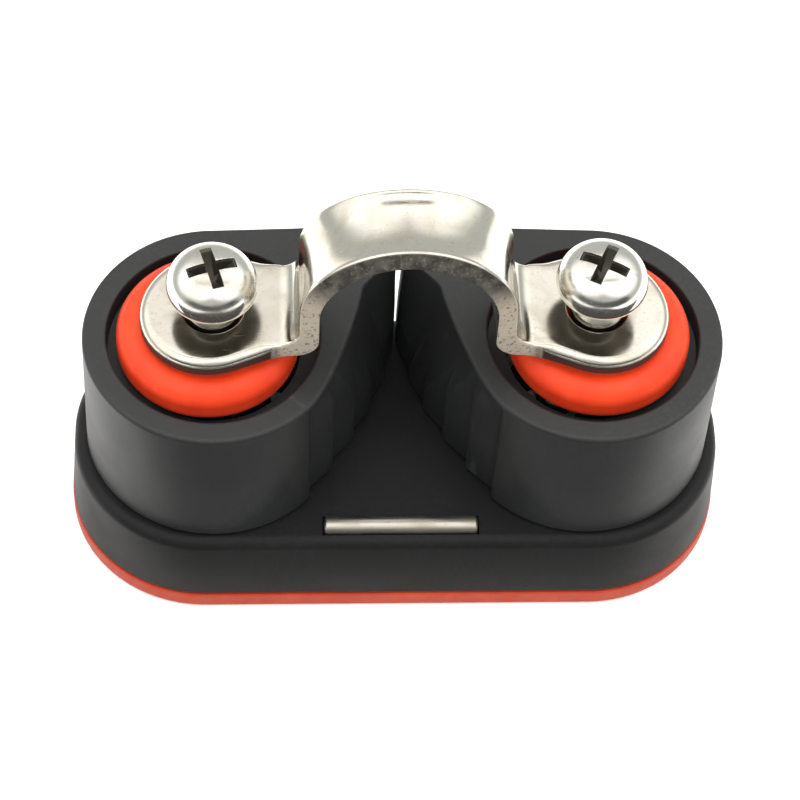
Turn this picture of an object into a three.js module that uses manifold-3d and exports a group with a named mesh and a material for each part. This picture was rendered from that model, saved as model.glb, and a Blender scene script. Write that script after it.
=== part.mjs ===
// A cam cleat with a saddle fairlead, in millimetres.
// +X runs from the left cam to the right cam, -Y faces the load, +Z is up off the deck.
import * as THREE from "three";
import { mergeVertices } from "three/addons/utils/BufferGeometryUtils.js";
import Module from "manifold-3d";

const wasm = await Module();
wasm.setup();

const PIVOT_X = 19; // half the spacing of the two mounting screws, which are also the cam pivots
const SEAT_GAP = 0.25; // air left between two pieces that rest on each other
const ROUND = 32; // facets round a turned piece
const SCREW_HOLE = 2.8; // radius of the hole for an M5 screw

const PLATE = { halfLength: 34.05, halfWidth: 14.75, corner: 14.1, thickness: 2.1 };
const BASE = {
  halfLength: 33.95,
  halfWidth: 14.65,
  corner: 14,
  bottom: PLATE.thickness + SEAT_GAP,
  top: 11.3,
  edge: 1,
};
const POCKET = { radius: 8.4, floor: 4.6 }; // holds the spring, under each cam
const BAR = { radius: 1, halfLength: 7.8, y: -12, z: 11.2 };

const CAM = { bottom: 11.6, top: 28.4, radius: 13, foot: 13.2, bore: 8.65, back: 13.55, corner: 1.6 };
const CAM_RECESS = { radius: 10.6, floor: 25.9 };
const TIP = { low: 18.85, high: 18.62, from: 13, to: 21 }; // the nose leans back between two heights
const JAW = { start: -43, end: 28.2, power: 2.5 }; // degrees round the pivot, from smooth drum to nose
const LEAN = {
  most: 3.6,
  power: 1.5,
  fadeFrom: 20,
  fadeTo: 29,
  highest: 25,
  drop: 17,
  dropPower: 1.7,
  lowest: 12.6,
};
const TEETH = { edges: [-42, -23.5, -6, 7.5, 18.5, 28], depth: 0.9, top: 27.5 };
const SPRING_NOTCH = { width: 2.4, reach: 10.8, height: 2.2 };

const BUSH = {
  tube: 4.55,
  shoulder: 5.2,
  shoulderTop: 12.7,
  flange: 9.1,
  flangeBottom: 26.2,
  outboard: 0.5, // how far the flange sits off the pivot, away from the rope
  underIn: 0.45,
  underUp: 0.9,
  edge: 2,
  top: 30.3,
};
const BALL = { radius: 1.97, orbit: 6.6, perRow: 10, rows: [15.85, 23.95] };
const RACE = { inner: 4.85, outer: 8.3, washer: 0.8 };
const SPRING = {
  wire: 0.55,
  radius: 6.85,
  start: 160, // degrees round the pivot, where the leg in the base leaves the coil
  turns: 4.2,
  bottom: 5.6,
  top: 10.6,
  leg: 9.7,
  legTop: 12.2,
};

const STRAP = {
  sheet: 1.8,
  bottom: 30.6, // at the end of each foot, which slopes up to the neck
  neckBottom: 31.4,
  archInner: { x: 8.6, z: 7.65 },
  archOuter: { x: 10.6, z: 9.5 },
  archCentre: 37.3,
  flare: 0.55, // how far the arch's rims stand proud of its middle
  bend: 2.2,
  topBend: 1.9,
  footRadius: 6.95,
  footX: 19.25,
  footMeet: 1.211, // where the neck's edge meets the round foot, in radians from +X
  halfWidth: 4.85,
  neckX: 12.4,
  hole: 3.1,
};
const SCREW = { shank: 2.4, head: 4.5, headHeight: 3.7, length: 35.4, tip: 2, recess: 1.9, lip: 0.4 };
const SCREW_SEAT = { left: { lift: 0.5, turn: 0.28 }, right: { lift: 1, turn: -0.45 } };

const BLACK = { color: 0x3a3c3c, roughness: 0.62, metalness: 0 };
const ORANGE = { color: 0xff5a2d, roughness: 0.45, metalness: 0 };
const STEEL = { color: 0xc9c2b2, roughness: 0.25, metalness: 1 };
const ACETAL = { color: 0xe9e6de, roughness: 0.5, metalness: 0 };

// A closed geometry as a manifold-3d solid, for joining and cutting.
function solid(geometry) {
  const plain = geometry.clone();
  plain.deleteAttribute("normal");
  plain.deleteAttribute("uv");
  const merged = mergeVertices(plain, 1e-4);
  return new wasm.Manifold(
    new wasm.Mesh({
      numProp: 3,
      vertProperties: merged.attributes.position.array,
      triVerts: new Uint32Array(merged.index.array),
    }),
  );
}

// A manifold-3d solid as a geometry again.
function geometryOf(body) {
  const mesh = body.getMesh();
  const geometry = new THREE.BufferGeometry();
  geometry.setAttribute("position", new THREE.BufferAttribute(mesh.vertProperties, 3));
  geometry.setIndex(new THREE.BufferAttribute(mesh.triVerts, 1));
  return geometry;
}

function cut(geometry, ...tools) {
  return geometryOf(tools.reduce((body, tool) => body.subtract(solid(tool)), solid(geometry)));
}

function join(...geometries) {
  return geometryOf(geometries.map(solid).reduce((all, one) => all.add(one)));
}

function common(a, b) {
  return geometryOf(solid(a).intersect(solid(b)));
}

function named(name, geometry, look) {
  const shown = geometry.index ? geometry.toNonIndexed() : geometry;
  shown.computeVertexNormals();
  const mesh = new THREE.Mesh(shown, new THREE.MeshStandardMaterial(look));
  mesh.name = name;
  return mesh;
}

// A flat outline raised from one height to another.
function raised(shape, from, to, options = {}) {
  const settings = { depth: to - from, bevelEnabled: false, curveSegments: 12, ...options };
  return new THREE.ExtrudeGeometry(shape, settings).translate(0, 0, from);
}

// A turned piece about +Z, from [radius, height] points listed anticlockwise.
function turned(points, facets = ROUND) {
  const profile = points.map(([radius, height]) => new THREE.Vector2(radius, height));
  return new THREE.LatheGeometry(profile, facets).rotateX(Math.PI / 2);
}

function ring(inner, outer, from, to, facets = ROUND) {
  return turned([[inner, from], [outer, from], [outer, to], [inner, to], [inner, from]], facets);
}

function rod(radius, from, to, facets = ROUND) {
  return turned([[0, from], [radius, from], [radius, to], [0, to]], facets);
}

function box(width, depth, from, to) {
  return new THREE.BoxGeometry(width, depth, to - from).translate(0, 0, (from + to) / 2);
}

function atPivot(geometry, side) {
  return geometry.translate(side * PIVOT_X, 0, 0);
}

function roundedOutline({ halfLength, halfWidth, corner }) {
  const x = halfLength - corner;
  const y = halfWidth - corner;
  const outline = new THREE.Shape();
  outline.absarc(x, y, corner, 0, Math.PI / 2);
  outline.absarc(-x, y, corner, Math.PI / 2, Math.PI);
  outline.absarc(-x, -y, corner, Math.PI, 1.5 * Math.PI);
  outline.absarc(x, -y, corner, 1.5 * Math.PI, 2 * Math.PI);
  return outline;
}

function bottomPlate() {
  const holes = [-1, 1].map((side) => atPivot(rod(SCREW_HOLE, -1, PLATE.thickness + 1), side));
  return cut(raised(roundedOutline(PLATE), 0, PLATE.thickness), ...holes);
}

function baseBody() {
  const outline = roundedOutline(BASE);
  const edge = BASE.edge;
  const rounded = raised(outline, BASE.bottom + edge, BASE.top - edge, {
    bevelEnabled: true,
    bevelThickness: edge,
    bevelSize: edge,
    bevelOffset: -edge,
    bevelSegments: 2,
  });
  const body = join(rounded, raised(outline, BASE.bottom, BASE.top - edge));
  const clear = 0.2;
  const above = BASE.top + 1;
  const grooveRadius = BAR.radius + clear;
  const grooveLength = 2 * BAR.halfLength + 0.6;
  const cuts = [-1, 1].flatMap((side) => [
    atPivot(rod(BUSH.shoulder + clear, BASE.bottom - 1, above), side),
    atPivot(rod(POCKET.radius, POCKET.floor, above), side),
    atPivot(springSlot(side), side),
  ]);
  const groove = new THREE.CylinderGeometry(grooveRadius, grooveRadius, grooveLength, 24);
  groove.rotateZ(Math.PI / 2).translate(0, BAR.y, BAR.z);
  const mouth = box(grooveLength, 2 * grooveRadius, BAR.z, above).translate(0, BAR.y, 0);
  return cut(body, ...cuts, groove, mouth);
}

// The slot in the base that holds the fixed leg of a spring.
function springSlot(side) {
  const length = SPRING.leg + 0.9 - SPRING.radius;
  const slot = box(length, SPRING_NOTCH.width, POCKET.floor, BASE.top + 1);
  slot.translate(SPRING.radius + length / 2, 0, 0);
  const angle = THREE.MathUtils.degToRad(SPRING.start);
  return slot.rotateZ(side < 0 ? angle : Math.PI - angle);
}

function wearBar() {
  const bar = new THREE.CylinderGeometry(BAR.radius, BAR.radius, 2 * BAR.halfLength, 16);
  return bar.rotateZ(Math.PI / 2).translate(0, BAR.y, BAR.z);
}

// How far the nose reaches towards the other cam, at a height.
function tipAt(height) {
  return THREE.MathUtils.lerp(TIP.low, TIP.high, THREE.MathUtils.smoothstep(height, TIP.from, TIP.to));
}

function alongJaw(angle) {
  return THREE.MathUtils.clamp((angle - JAW.start) / (JAW.end - JAW.start), 0, 1);
}

// How far the jaw reaches from the pivot, at an angle in degrees.
function jawReach(angle, height) {
  const noseReach = tipAt(height) / Math.cos(THREE.MathUtils.degToRad(JAW.end));
  return CAM.radius + (noseReach - CAM.radius) * alongJaw(angle) ** JAW.power;
}

// The height above which the jaw starts to lean back, and how far it leans by the top.
function leanOf(angle) {
  const fade = 1 - THREE.MathUtils.smoothstep(angle, LEAN.fadeFrom, LEAN.fadeTo);
  const start = LEAN.highest - LEAN.drop * alongJaw(angle) ** LEAN.dropPower;
  return { start: Math.max(start, LEAN.lowest), most: LEAN.most * alongJaw(angle) ** LEAN.power * fade };
}

function leanAt(angle, height) {
  const { start, most } = leanOf(angle);
  return most * THREE.MathUtils.clamp((height - start) / (CAM.top - start), 0, 1);
}

// Where a tooth that stands back by a depth runs out into the leaning face above it.
function toothTop(angle, depth) {
  const { start, most } = leanOf(angle);
  const rise = most > 0.01 ? (depth / most) * (CAM.top - start) : CAM.top;
  return Math.min(start + rise, TEETH.top);
}

function polar(radius, angle) {
  const turn = THREE.MathUtils.degToRad(angle);
  return new THREE.Vector2(radius * Math.cos(turn), radius * Math.sin(turn));
}

// The saw teeth as angles and depths: each rises from its root to its tip, then drops to the next root.
function teeth() {
  const { edges, depth } = TEETH;
  return edges.slice(1).flatMap((end, i) => [
    { angle: edges[i] + 0.4, depth },
    { angle: (edges[i] + end) / 2, depth: depth / 2 },
    { angle: end, depth: 0 },
  ]);
}

// One level of the cam's skin, for the left cam with its pivot at the origin.
function camLayer(drumRadius, toothed, heightAt) {
  const points = [];
  const add = (spot, height) => points.push(new THREE.Vector3(spot.x, spot.y, height));
  const steps = 26;
  for (let i = 0; i <= steps; i += 1) {
    add(polar(drumRadius, 90 + (i * (360 + TEETH.edges[0] - 90)) / steps), heightAt(90, 0));
  }
  teeth().forEach(({ angle, depth }) => {
    const height = heightAt(angle, depth);
    const back = Math.max(toothed ? depth : 0, leanAt(angle, height));
    add(polar(jawReach(angle, height) - back, angle), height);
  });
  const height = heightAt(90, 0);
  const centre = new THREE.Vector2(tipAt(height) - CAM.corner, CAM.back - CAM.corner);
  for (let turn = 0; turn <= 90; turn += 22.5) {
    add(polar(CAM.corner, turn).add(centre), height);
  }
  return points;
}

// A closed skin over outlines that all have the same number of points, bottom first.
function lofted(layers) {
  const count = layers[0].length;
  const points = layers.flat();
  const faces = [];
  for (let layer = 0; layer + 1 < layers.length; layer += 1) {
    for (let i = 0; i < count; i += 1) {
      const a = layer * count + i;
      const b = layer * count + ((i + 1) % count);
      faces.push(a, b, b + count, a, b + count, a + count);
    }
  }
  const flat = (layer) => layer.map((point) => new THREE.Vector2(point.x, point.y));
  const top = (layers.length - 1) * count;
  THREE.ShapeUtils.triangulateShape(flat(layers[0]), []).forEach(([a, b, c]) => faces.push(c, b, a));
  THREE.ShapeUtils.triangulateShape(flat(layers.at(-1)), []).forEach(([a, b, c]) => {
    faces.push(top + a, top + b, top + c);
  });
  return new THREE.BufferGeometry().setFromPoints(points).setIndex(faces);
}

function camBody() {
  const edge = 0.4;
  const shell = lofted([
    camLayer(CAM.foot, true, () => CAM.bottom),
    camLayer(CAM.radius + 0.05, true, toothTop),
    camLayer(CAM.radius, false, () => CAM.top - edge),
    camLayer(CAM.radius - edge, false, () => CAM.top),
  ]);
  const notchTop = CAM.bottom + SPRING_NOTCH.height;
  const notch = box(SPRING_NOTCH.reach, SPRING_NOTCH.width, CAM.bottom - 1, notchTop);
  notch.translate(SPRING_NOTCH.reach / 2, 0, 0);
  notch.rotateZ(THREE.MathUtils.degToRad(SPRING.start + 360 * SPRING.turns));
  return cut(
    shell,
    rod(CAM.bore, CAM.bottom - 1, CAM.top + 1, 40),
    rod(CAM_RECESS.radius, CAM_RECESS.floor, CAM.top + 1, 40),
    notch,
  );
}

// The orange bush carries the cam on its tube and shows as a round-edged disc on top.
function bush() {
  const { tube, shoulder, shoulderTop, flange, flangeBottom } = BUSH;
  const { outboard, underIn, underUp, edge, top } = BUSH;
  const bottom = BASE.bottom;
  const inFlange = flangeBottom + underUp;
  const post = turned([
    [0, bottom],
    [shoulder, bottom],
    [shoulder, shoulderTop],
    [tube, shoulderTop],
    [tube, inFlange],
    [0, inFlange],
  ]);
  const profile = [[0, flangeBottom], [flange - underIn, flangeBottom], [flange, inFlange]];
  for (let turn = 0; turn <= 90; turn += 15) {
    const rim = polar(edge, turn);
    profile.push([flange - edge + rim.x, top - edge + rim.y]);
  }
  profile.push([0, top]);
  const cap = turned(profile).translate(-outboard, 0, 0);
  return cut(join(post, cap), rod(SCREW_HOLE, bottom - 1, top + 1));
}

// A torsion spring: a helix with one leg held in the base and one in the cam.
function torsionSpring() {
  const steps = Math.round(12 * SPRING.turns);
  const at = (radius, along, height) => {
    const spot = polar(radius, SPRING.start + 360 * SPRING.turns * along);
    return new THREE.Vector3(spot.x, spot.y, height);
  };
  const points = [at(SPRING.leg, 0, SPRING.bottom)];
  for (let i = 0; i <= steps; i += 1) {
    const along = i / steps;
    points.push(at(SPRING.radius, along, THREE.MathUtils.lerp(SPRING.bottom, SPRING.top, along)));
  }
  points.push(at(SPRING.radius + 0.4, 1, SPRING.legTop), at(SPRING.leg, 1, SPRING.legTop));
  return new THREE.ExtrudeGeometry(new THREE.Shape().absarc(0, 0, SPRING.wire, 0, 2 * Math.PI), {
    steps: steps + 12,
    curveSegments: 4,
    bevelEnabled: false,
    extrudePath: new THREE.CatmullRomCurve3(points, false, "centripetal"),
  });
}

// The fairlead's bent sheet, seen from the front.
function strapSection() {
  const { sheet, bottom, neckBottom, archInner, archOuter, archCentre, bend, topBend } = STRAP;
  const end = STRAP.footX + STRAP.footRadius + 1;
  const underX = archInner.x + bend;
  const overX = archOuter.x + topBend;
  const overZ = neckBottom + sheet + topBend;
  const section = new THREE.Shape();
  section.moveTo(-end, bottom);
  section.lineTo(-underX, neckBottom);
  section.absarc(-underX, neckBottom + bend, bend, -Math.PI / 2, 0);
  section.absellipse(0, archCentre, archInner.x, archInner.z, Math.PI, 0, true);
  section.absarc(underX, neckBottom + bend, bend, Math.PI, 1.5 * Math.PI);
  section.lineTo(end, bottom);
  section.lineTo(end, bottom + sheet);
  section.absarc(overX, overZ, topBend, 1.5 * Math.PI, Math.PI, true);
  section.absellipse(0, archCentre, archOuter.x, archOuter.z, 0, Math.PI);
  section.absarc(-overX, overZ, topBend, 0, -Math.PI / 2, true);
  section.lineTo(-end, bottom + sheet);
  return section;
}

// The fairlead seen from above: a narrow bridge between two round feet.
function strapPlan() {
  const { footRadius, footX, footMeet, halfWidth, neckX } = STRAP;
  const plan = new THREE.Shape();
  plan.moveTo(-neckX, -halfWidth);
  plan.lineTo(neckX, -halfWidth);
  plan.absarc(footX, 0, footRadius, footMeet - Math.PI, Math.PI - footMeet);
  plan.lineTo(neckX, halfWidth);
  plan.lineTo(-neckX, halfWidth);
  plan.absarc(-footX, 0, footRadius, footMeet, 2 * Math.PI - footMeet);
  return plan;
}

// The arch's middle is drawn in from its rims, so that a rope meets no sharp edge.
function flared(geometry) {
  const position = geometry.attributes.position;
  for (let i = 0; i < position.count; i += 1) {
    const point = new THREE.Vector3().fromBufferAttribute(position, i);
    const rise = point.z - STRAP.archCentre;
    const across = Math.min(Math.abs(point.y) / STRAP.halfWidth, 1);
    const inward = STRAP.flare * (1 - across ** 2) * THREE.MathUtils.smoothstep(rise, -3.6, 0);
    const shrink = 1 - inward / Math.hypot(point.x, Math.max(rise, 0));
    const height = rise > 0 ? STRAP.archCentre + rise * shrink : point.z;
    position.setXYZ(i, point.x * shrink, point.y, height);
  }
  return geometry;
}

function fairlead() {
  const width = 2 * STRAP.footRadius + 2;
  const bent = new THREE.ExtrudeGeometry(strapSection(), {
    depth: width,
    steps: 16,
    bevelEnabled: false,
    curveSegments: 16,
  });
  bent.rotateX(Math.PI / 2).translate(0, width / 2, 0);
  const top = STRAP.archCentre + STRAP.archOuter.z + 1;
  const trimmed = common(flared(bent), raised(strapPlan(), STRAP.bottom - 1, top));
  const holes = [-1, 1].map((side) => atPivot(rod(STRAP.hole, STRAP.bottom - 1, top), side));
  return cut(trimmed, ...holes);
}

// A pan-head screw with a cross recess, its tip at the origin.
function screw() {
  const { shank, head, headHeight, length, tip, recess, lip } = SCREW;
  const profile = [[0, 0], [shank * 0.55, 0], [shank, tip], [shank, length]];
  profile.push([head - lip, length], [head, length + lip]);
  for (let turn = 15; turn < 90; turn += 15) {
    const angle = THREE.MathUtils.degToRad(turn);
    profile.push([head * Math.cos(angle) ** 0.75, length + lip + (headHeight - lip) * Math.sin(angle)]);
  }
  const crown = length + headHeight;
  profile.push([0, crown]);
  const arms = [0, Math.PI / 2].map((turn) => box(2.6 * recess, 1, crown - recess, crown + 1).rotateZ(turn));
  return cut(turned(profile, 24), ...arms);
}

// The left half is built about its own pivot, and the right half is its mirror image.
function mirrored(geometry, side) {
  if (side < 0) return geometry;
  const flipped = geometry.clone().scale(-1, 1, 1);
  const plain = flipped.index ? flipped.toNonIndexed() : flipped;
  const position = plain.attributes.position;
  for (let i = 0; i < position.count; i += 3) {
    const a = new THREE.Vector3().fromBufferAttribute(position, i + 1);
    const b = new THREE.Vector3().fromBufferAttribute(position, i + 2);
    position.setXYZ(i + 1, b.x, b.y, b.z);
    position.setXYZ(i + 2, a.x, a.y, a.z);
  }
  plain.deleteAttribute("normal");
  return plain;
}

function pivotStack(label, side) {
  const stack = new THREE.Group();
  stack.position.x = side * PIVOT_X;
  const add = (name, geometry, look) => {
    stack.add(named(`${label}_${name}`, mirrored(geometry, side), look));
  };
  add("cam", camBody(), BLACK);
  add("pivot_bush", bush(), ORANGE);
  add("torsion_spring", torsionSpring(), STEEL);
  const [lower, upper] = BALL.rows;
  const clear = BALL.radius + 0.2;
  const washerTop = lower - clear;
  add("thrust_washer", ring(RACE.inner, RACE.outer, washerTop - RACE.washer, washerTop), STEEL);
  add("race_spacer", ring(RACE.inner, RACE.outer, lower + clear, upper - clear), ACETAL);
  BALL.rows.forEach((height, row) => {
    for (let i = 0; i < BALL.perRow; i += 1) {
      const spot = polar(BALL.orbit, (360 * (i + row / 2)) / BALL.perRow);
      const ball = new THREE.IcosahedronGeometry(BALL.radius, 1).translate(spot.x, spot.y, height);
      const level = row === 0 ? "lower" : "upper";
      add(`${level}_ball_${String(i + 1).padStart(2, "0")}`, ball, STEEL);
    }
  });
  const fastener = named(`${label}_screw`, screw(), STEEL);
  fastener.position.z = SCREW_SEAT[label].lift;
  fastener.rotation.z = SCREW_SEAT[label].turn;
  stack.add(fastener);
  return stack;
}

const group = new THREE.Group();
group.add(
  named("bottom_plate", bottomPlate(), ORANGE),
  named("base", baseBody(), BLACK),
  named("wear_bar", wearBar(), STEEL),
  named("fairlead_strap", fairlead(), STEEL),
  pivotStack("left", -1),
  pivotStack("right", 1),
);

export default group;
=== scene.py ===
"""A cam cleat with a saddle fairlead.

Sizes are in millimetres until a mesh is made. -Y faces the load and +Z is up off the deck.
"""

import math
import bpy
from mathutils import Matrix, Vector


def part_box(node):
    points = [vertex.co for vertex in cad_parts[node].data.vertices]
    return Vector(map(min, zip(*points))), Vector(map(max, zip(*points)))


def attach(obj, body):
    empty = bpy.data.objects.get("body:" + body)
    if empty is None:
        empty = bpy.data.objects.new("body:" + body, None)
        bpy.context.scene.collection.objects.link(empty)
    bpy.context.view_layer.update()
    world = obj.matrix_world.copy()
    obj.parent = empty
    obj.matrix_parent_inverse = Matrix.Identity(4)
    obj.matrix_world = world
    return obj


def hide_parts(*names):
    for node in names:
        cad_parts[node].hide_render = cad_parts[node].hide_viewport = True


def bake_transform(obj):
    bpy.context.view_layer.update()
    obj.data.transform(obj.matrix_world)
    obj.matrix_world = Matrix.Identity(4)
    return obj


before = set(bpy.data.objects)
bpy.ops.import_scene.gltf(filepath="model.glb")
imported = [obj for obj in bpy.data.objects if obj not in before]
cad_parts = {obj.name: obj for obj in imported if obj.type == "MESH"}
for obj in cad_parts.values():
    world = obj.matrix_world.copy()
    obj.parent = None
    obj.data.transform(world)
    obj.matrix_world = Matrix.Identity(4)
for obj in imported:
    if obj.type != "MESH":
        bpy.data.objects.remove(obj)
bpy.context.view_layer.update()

from types import SimpleNamespace as Sizes

import bmesh
import bpy
from mathutils import Matrix, Vector

MM = 0.001
ROOT = "base_assembly"
SIDES = {"left": -1, "right": 1}


def box_mm(node):
    """A CAD node's lowest and highest corners, in millimetres."""
    low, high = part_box(node)
    return low / MM, high / MM


# Sizes read from the frame.
plate_low, plate_high = box_mm("bottom_plate")
base_low, base_high = box_mm("base")
bar_low, bar_high = box_mm("wear_bar")
cam_low, cam_high = box_mm("left_cam")
bush_low, bush_high = box_mm("left_pivot_bush")
spring_low, spring_high = box_mm("left_torsion_spring")
washer_low, washer_high = box_mm("left_thrust_washer")
spacer_low, spacer_high = box_mm("left_race_spacer")
strap_low, strap_high = box_mm("fairlead_strap")
screw_tops = {label: box_mm(f"{label}_screw")[1].z for label in SIDES}
screw_low, screw_high = box_mm("left_screw")

# The screws and the cams' pivots stand this far to each side.
PIVOT_X = -(screw_low.x + screw_high.x) / 2

# Base and plate. A draft is how much narrower a side is at its top.
PLATE = Sizes(half_x=plate_high.x, half_y=plate_high.y, corner=14.1, low=plate_low.z, high=plate_high.z)
BASE = Sizes(half_x=base_high.x, half_y=base_high.y, corner=14.0, low=base_low.z, high=base_high.z)
BASE_EDGE = dict(low_edge=0.25, high_edge=1.2, draft=0.45)
SCREW_HOLE = 2.8
POCKET = Sizes(radius=8.4, floor=4.6)
BUSH_BORE = 5.4

# Cams. Angles are in degrees round the pivot, from straight at the other cam towards the back.
CAM = Sizes(low=cam_low.z, high=cam_high.z, drum=13.0, foot=13.2, bore=8.65, recess=10.6, recess_floor=25.9)
TIP = Sizes(low=cam_high.x + PIVOT_X, high=cam_high.x + PIVOT_X - 0.19, start=16.5, end=25.0)
JAW = Sizes(start=-43.0, end=28.2, power=2.5)
LEAN = Sizes(most=3.6, power=1.5, fade_from=20.0, fade_to=29.0)
LEAN_START = Sizes(highest=25.0, drop=17.0, power=1.7, lowest=12.6)
TEETH = Sizes(edges=[-42.0, -23.5, -6.0, 7.5, 18.5, 28.0], depth=0.9, top=27.5, step=0.35)
NOSE = Sizes(corner=1.6, rise=0.52)

# Springs, races, bushes and screws. SCREW_TURN turns each cross recess, in radians.
SPRING = Sizes(wire=0.5, radius=6.85, start=160.0, turns=4.2, leg=9.7, rise=5.0)
NOTCH = Sizes(radius=10.8, height=2.2, half_width=1.2)
RACE_BORE = 4.85
POST = Sizes(shoulder=5.2, tube=4.55, washer_gap=0.18)
FLANGE = Sizes(radius=(bush_high.x - bush_low.x) / 2, bottom=26.2, under_edge=1.1, edge=1.95)
FLANGE.outboard = -(bush_low.x + bush_high.x) / 2 - PIVOT_X
THREAD = Sizes(radius=2.4, core=1.95, pitch=0.8, point=1.1, end=5.0)
SCREW = Sizes(head=4.5, height=3.7, lip=0.6, dome=0.66, neck=2.3, collar=2.72)
DOME_FALL = 0.0193  # times the cube of the radius, about how far the head's dome drops
SCREW_TURN = {"left": 0.28, "right": -0.45}

# The saddle. end_x and end_z place the low end of the line that each foot's underside follows.
STRAP = Sizes(
    sheet=1.8,
    end_x=27.2,
    end_z=30.6,
    neck_z=31.4,
    bend=2.2,
    top_bend=1.9,
    arch_in=(8.6, 7.65),
    arch_out=(10.6, 9.5),
    flare=0.6,
    flare_run=3.6,
    foot_radius=(strap_high.y - strap_low.y) / 2,
    foot_angle=math.radians(69.4),
    neck=4.85,
    neck_ease=0.12,
    crest=4.5,
    edge_slope=0.3,
    foot_edge=0.95,
    arch_edge=0.34,
    hole=3.1,
)
STRAP.foot_x = strap_high.x - STRAP.foot_radius
STRAP.arch_z = strap_high.z - STRAP.arch_out[1]

# The studio. SKY, SEAM and FRONT hold brightnesses, and directions as parts of a unit vector. FLOOR and CARD
# are in metres, but for per_mm, the features of their faint mottling.
CAMERA = Sizes(azimuth=-5.356, elevation=55.948, distance=308.77, target=(0.1, 0, 16.4), roll=4.212, lens=135)
SKY = Sizes(grey=0.62, grey_to=0.7, bright=1.7, bright_from=1.0, side=0.55)
SEAM = Sizes(y=0.2, width=0.065, z=(0.85, 0.95), strength=0.12)
FRONT = Sizes(y=(-0.3, -0.65), z=(0.5, 0.3), strength=0.2)
FLOOR = dict(grey=0.93, roughness=0.6, per_mm=0.02, half_width=1.5, near=-1.5, far=1.5, z=-0.0001)
CARD = dict(grey=0.03, roughness=0.9, per_mm=0.05, half_width=0.12, near=-0.5, far=-0.019, z=0.0)


# -------- mesh making


def smoothstep(x):
    """0 below 0 and 1 above 1, with a smooth climb between."""
    x = min(max(x, 0.0), 1.0)
    return x * x * (3 - 2 * x)


def lerp(a, b, t):
    """The value t of the way from a to b."""
    return a + (b - a) * t


def quarter_turn(steps, first=0):
    """(cosine, sine) pairs through a right angle."""
    angles = [math.pi / 2 * k / steps for k in range(first, steps + 1)]
    return [(math.cos(a), math.sin(a)) for a in angles]


def band_faces(rings, count):
    """The quads that join each ring of count points to the next."""
    faces = []
    for i in range(rings - 1):
        a, b = i * count, (i + 1) * count
        for k in range(count):
            m = (k + 1) % count
            faces.append((a + k, a + m, b + m, b + k))
    return faces


def end_faces(rings, count):
    """The faces that close the first and the last of those rings."""
    return [list(range(count))[::-1], list(range((rings - 1) * count, rings * count))]


def mesh_object(name, verts, faces, sharp_deg=35.0):
    """A mesh object from points in millimetres, shaded smooth apart from its sharp edges."""
    mesh = bpy.data.meshes.new(name)
    mesh.from_pydata([Vector(v) * MM for v in verts], [], faces)
    mesh.validate()
    bm = bmesh.new()
    bm.from_mesh(mesh)
    bmesh.ops.remove_doubles(bm, verts=bm.verts, dist=1e-7)
    bmesh.ops.recalc_face_normals(bm, faces=bm.faces)
    bm.to_mesh(mesh)
    bm.free()
    obj = bpy.data.objects.new(name, mesh)
    bpy.context.scene.collection.objects.link(obj)
    shade(obj, sharp_deg)
    return obj


def shade(obj, sharp_deg=35.0):
    """Smooth shading, with an edge wherever faces meet at more than that angle."""
    mesh = obj.data
    mesh.polygons.foreach_set("use_smooth", [True] * len(mesh.polygons))
    mesh.set_sharp_from_angle(angle=math.radians(sharp_deg))


def apply_modifiers(obj):
    """Makes the result of the modifiers into the mesh."""
    bpy.context.view_layer.update()
    evaluated = obj.evaluated_get(bpy.context.evaluated_depsgraph_get())
    mesh = bpy.data.meshes.new_from_object(evaluated)
    obj.modifiers.clear()
    obj.data = mesh


def carve(obj, *cutters, operation="DIFFERENCE"):
    """Cuts closed meshes out of obj, or joins them to it, and removes them."""
    for cutter in cutters:
        modifier = obj.modifiers.new("carve", "BOOLEAN")
        modifier.operation = operation
        modifier.solver = "EXACT"
        modifier.object = cutter
    apply_modifiers(obj)
    for cutter in cutters:
        bpy.data.objects.remove(cutter)
    shade(obj)


def even_normals(obj):
    """Lets large faces set the shading next to a rounded edge."""
    modifier = obj.modifiers.new("even_normals", "WEIGHTED_NORMAL")
    modifier.keep_sharp = True
    modifier.weight = 60
    apply_modifiers(obj)


def fillet(points, steps=5):
    """A polyline from (x, z, radius) corners, each rounded to its radius."""
    out = []
    count = len(points)
    for i, (x, z, radius) in enumerate(points):
        if radius <= 0 or i in (0, count - 1):
            out.append((x, z))
            continue
        corner = Vector((x, z))
        before = (Vector(points[i - 1][:2]) - corner).normalized()
        after = (Vector(points[i + 1][:2]) - corner).normalized()
        half = before.angle(after) / 2
        reach = radius / math.tan(half)
        centre = corner + (before + after).normalized() * (radius / math.sin(half))
        start = corner + before * reach - centre
        turn = math.pi - 2 * half
        side = 1 if (before.x * after.y - before.y * after.x) < 0 else -1
        for k in range(steps + 1):
            angle = side * turn * k / steps
            c, s = math.cos(angle), math.sin(angle)
            out.append((centre.x + start.x * c - start.y * s, centre.y + start.x * s + start.y * c))
    return out


def polar_grid(name, profile_at, angles, centre=(0, 0), closed=True, sharp_deg=35.0):
    """A skin round a vertical axis: profile_at(angle) lists (radius, z), the same number at each angle.

    closed joins each profile's end to its start, as on a ring; otherwise its ends close on the axis.
    """
    rows = [profile_at(a) for a in angles]
    across = len(rows[0])
    verts = [
        (centre[0] + r * math.cos(a), centre[1] + r * math.sin(a), z)
        for a, row in zip(angles, rows)
        for r, z in row
    ]
    faces = []
    for i in range(len(rows)):
        j = (i + 1) % len(rows)
        for k in range(across if closed else across - 1):
            m = (k + 1) % across
            faces.append((i * across + k, j * across + k, j * across + m, i * across + m))
    if not closed:
        faces.append([i * across for i in range(len(rows))])
        faces.append([i * across + across - 1 for i in range(len(rows))])
    return mesh_object(name, verts, faces, sharp_deg)


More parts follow.
